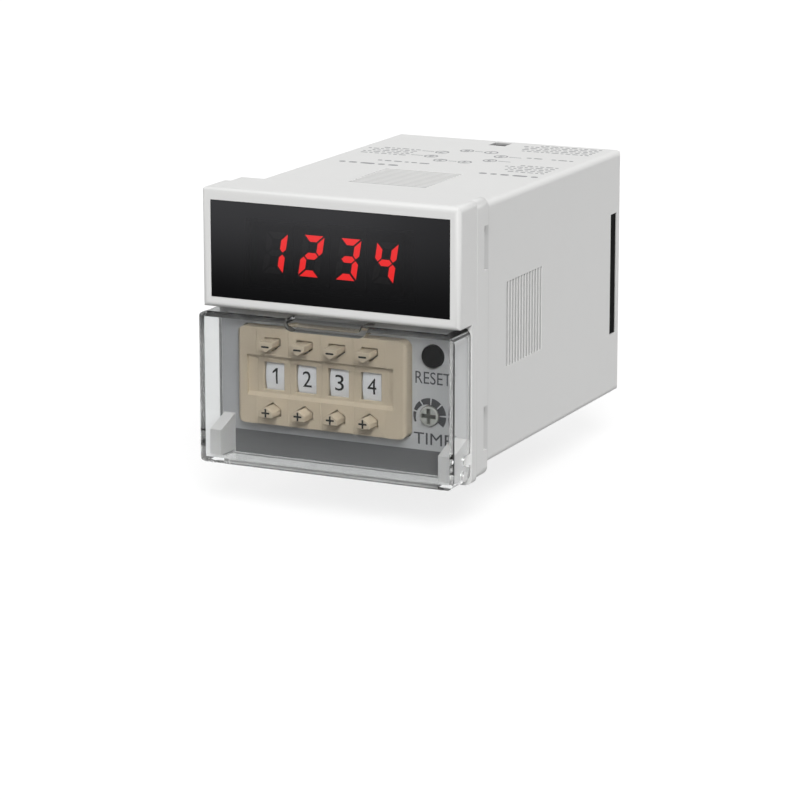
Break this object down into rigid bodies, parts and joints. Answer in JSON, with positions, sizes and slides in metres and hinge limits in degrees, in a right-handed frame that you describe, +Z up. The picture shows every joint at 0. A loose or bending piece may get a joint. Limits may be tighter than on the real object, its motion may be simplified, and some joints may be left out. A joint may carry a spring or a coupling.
{
  "type": "panel counter",
  "caption": "Square-fronted plug-in preset counter with a red digit display over push-wheel switches, a reset button and a time trimmer behind a clear hinged cover.",
  "frame": {"origin": "centre of the square front, in the plane where the collar meets the panel", "axes": "+X to the right seen from the front, +Y from the front to the rear plug, +Z up"},
  "size_m": [0.048, 0.0917, 0.048],
  "materials": {
    "case_plastic": "fine satin moulding",
    "smoked_window": "polished smoked acrylic",
    "digit_housing": "dull moulded face",
    "light_bar": "diffusing resin",
    "board": "green board lacquer",
    "label": "silver printed film",
    "beige_plastic": "satin moulding",
    "wheel_plastic": "satin white",
    "black_plastic": "fine satin black",
    "plunger_metal": "plain",
    "trimmer_plastic": "satin",
    "blue_plastic": "smooth",
    "core_steel": "laminated edges",
    "winding": "taped winding",
    "capacitor_can": "sleeved can",
    "pin_metal": "nickel plated",
    "clear_cover": "polished clear moulding"
  },
  "bodies": {
    "housing": {"case": "case_plastic", "front_bezel": "case_plastic", "display_window": "smoked_window", "led_digit_1": "digit_housing", "led_digit_2": "digit_housing", "led_digit_3": "digit_housing", "led_digit_4": "digit_housing", "light_bars_1": "light_bar", "light_bars_2": "light_bar", "light_bars_3": "light_bar", "light_bars_4": "light_bar", "display_board": "board", "front_label": "label", "switch_end_cap_left": "beige_plastic", "switch_end_cap_right": "beige_plastic", "switch_module_1": "beige_plastic", "switch_module_2": "beige_plastic", "switch_module_3": "beige_plastic", "switch_module_4": "beige_plastic", "reset_switch": "black_plastic", "trimmer_body": "blue_plastic", "control_board": "board", "main_board": "board", "power_board": "board", "board_headers": "black_plastic", "transformer_core": "core_steel", "transformer_bobbin": "winding", "relay": "blue_plastic", "capacitors": "capacitor_can", "microcontroller": "black_plastic", "plug_base": "black_plastic", "contact_pins": "pin_metal"},
    "cover": {"front_cover": "clear_cover"},
    "reset": {"reset_button": "black_plastic", "reset_plunger": "plunger_metal"},
    "trimmer": {"time_trimmer": "trimmer_plastic"},
    "minus_1": {"minus_button_1": "beige_plastic"},
    "plus_1": {"plus_button_1": "beige_plastic"},
    "wheel_1": {"number_wheel_1": "wheel_plastic"},
    "minus_2": {"minus_button_2": "beige_plastic"},
    "plus_2": {"plus_button_2": "beige_plastic"},
    "wheel_2": {"number_wheel_2": "wheel_plastic"},
    "minus_3": {"minus_button_3": "beige_plastic"},
    "plus_3": {"plus_button_3": "beige_plastic"},
    "wheel_3": {"number_wheel_3": "wheel_plastic"},
    "minus_4": {"minus_button_4": "beige_plastic"},
    "plus_4": {"plus_button_4": "beige_plastic"},
    "wheel_4": {"number_wheel_4": "wheel_plastic"}
  },
  "joints": [
    {"name": "cover_hinge", "type": "hinge", "parent": "housing", "child": "cover", "pos_m": [0, -0.00885, -0.02195], "axis": [1, 0, 0], "range_deg": [0, 100]},
    {"name": "minus_1_press", "type": "slide", "parent": "housing", "child": "minus_1", "axis": [0, 1, 0], "range_m": [0, 0.0014], "stiffness_N_per_m": 400},
    {"name": "plus_1_press", "type": "slide", "parent": "housing", "child": "plus_1", "axis": [0, 1, 0], "range_m": [0, 0.0014], "stiffness_N_per_m": 400},
    {"name": "minus_2_press", "type": "slide", "parent": "housing", "child": "minus_2", "axis": [0, 1, 0], "range_m": [0, 0.0014], "stiffness_N_per_m": 400},
    {"name": "plus_2_press", "type": "slide", "parent": "housing", "child": "plus_2", "axis": [0, 1, 0], "range_m": [0, 0.0014], "stiffness_N_per_m": 400},
    {"name": "minus_3_press", "type": "slide", "parent": "housing", "child": "minus_3", "axis": [0, 1, 0], "range_m": [0, 0.0014], "stiffness_N_per_m": 400},
    {"name": "plus_3_press", "type": "slide", "parent": "housing", "child": "plus_3", "axis": [0, 1, 0], "range_m": [0, 0.0014], "stiffness_N_per_m": 400},
    {"name": "minus_4_press", "type": "slide", "parent": "housing", "child": "minus_4", "axis": [0, 1, 0], "range_m": [0, 0.0014], "stiffness_N_per_m": 400},
    {"name": "plus_4_press", "type": "slide", "parent": "housing", "child": "plus_4", "axis": [0, 1, 0], "range_m": [0, 0.0014], "stiffness_N_per_m": 400},
    {"name": "reset_press", "type": "slide", "parent": "housing", "child": "reset", "axis": [0, 1, 0], "range_m": [0, 0.0006], "stiffness_N_per_m": 1200},
    {"name": "trimmer_turn", "type": "hinge", "parent": "housing", "child": "trimmer", "pos_m": [0.01655, -0.0068, -0.0126], "axis": [0, 1, 0], "range_deg": [-135, 135]},
    {"name": "wheel_1_turn", "type": "hinge", "parent": "housing", "child": "wheel_1", "pos_m": [-0.012, -0.00108, -0.0084], "axis": [1, 0, 0], "continuous": true},
    {"name": "wheel_2_turn", "type": "hinge", "parent": "housing", "child": "wheel_2", "pos_m": [-0.0059, -0.00108, -0.0084], "axis": [1, 0, 0], "continuous": true},
    {"name": "wheel_3_turn", "type": "hinge", "parent": "housing", "child": "wheel_3", "pos_m": [0.0002, -0.00108, -0.0084], "axis": [1, 0, 0], "continuous": true},
    {"name": "wheel_4_turn", "type": "hinge", "parent": "housing", "child": "wheel_4", "pos_m": [0.0063, -0.00108, -0.0084], "axis": [1, 0, 0], "continuous": true}
  ]
}
